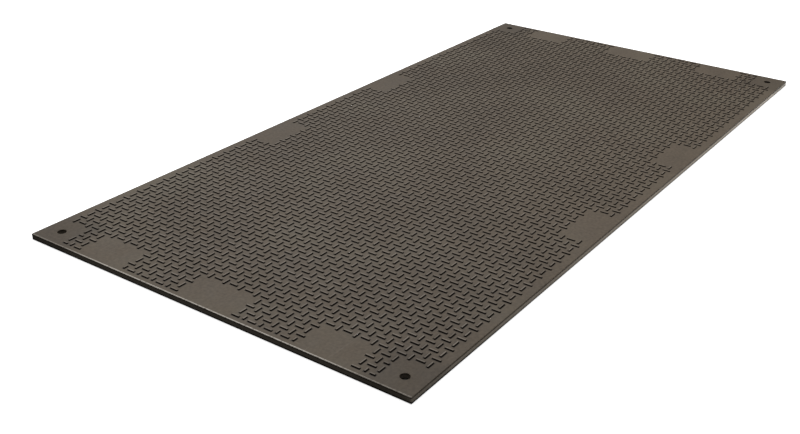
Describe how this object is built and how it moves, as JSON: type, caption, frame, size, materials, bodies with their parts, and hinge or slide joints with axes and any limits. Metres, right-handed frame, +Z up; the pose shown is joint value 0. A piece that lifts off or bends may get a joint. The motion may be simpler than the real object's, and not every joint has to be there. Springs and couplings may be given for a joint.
{
  "type": "ground protection mat",
  "caption": "Rectangular moulded plastic ground protection mat with a raised bar tread, smooth pads along its edges and a peg hole through each corner.",
  "frame": {"origin": "middle of the underside, which lies on the ground", "axes": "+X along the sheet, +Y across it, +Z up"},
  "size_m": [2.44, 1.22, 0.019],
  "materials": {
    "polyethylene": "moulded, matte with a faint sheen, dark warm grey"
  },
  "bodies": {
    "root": {"ground_mat": "polyethylene"}
  },
  "joints": []
}
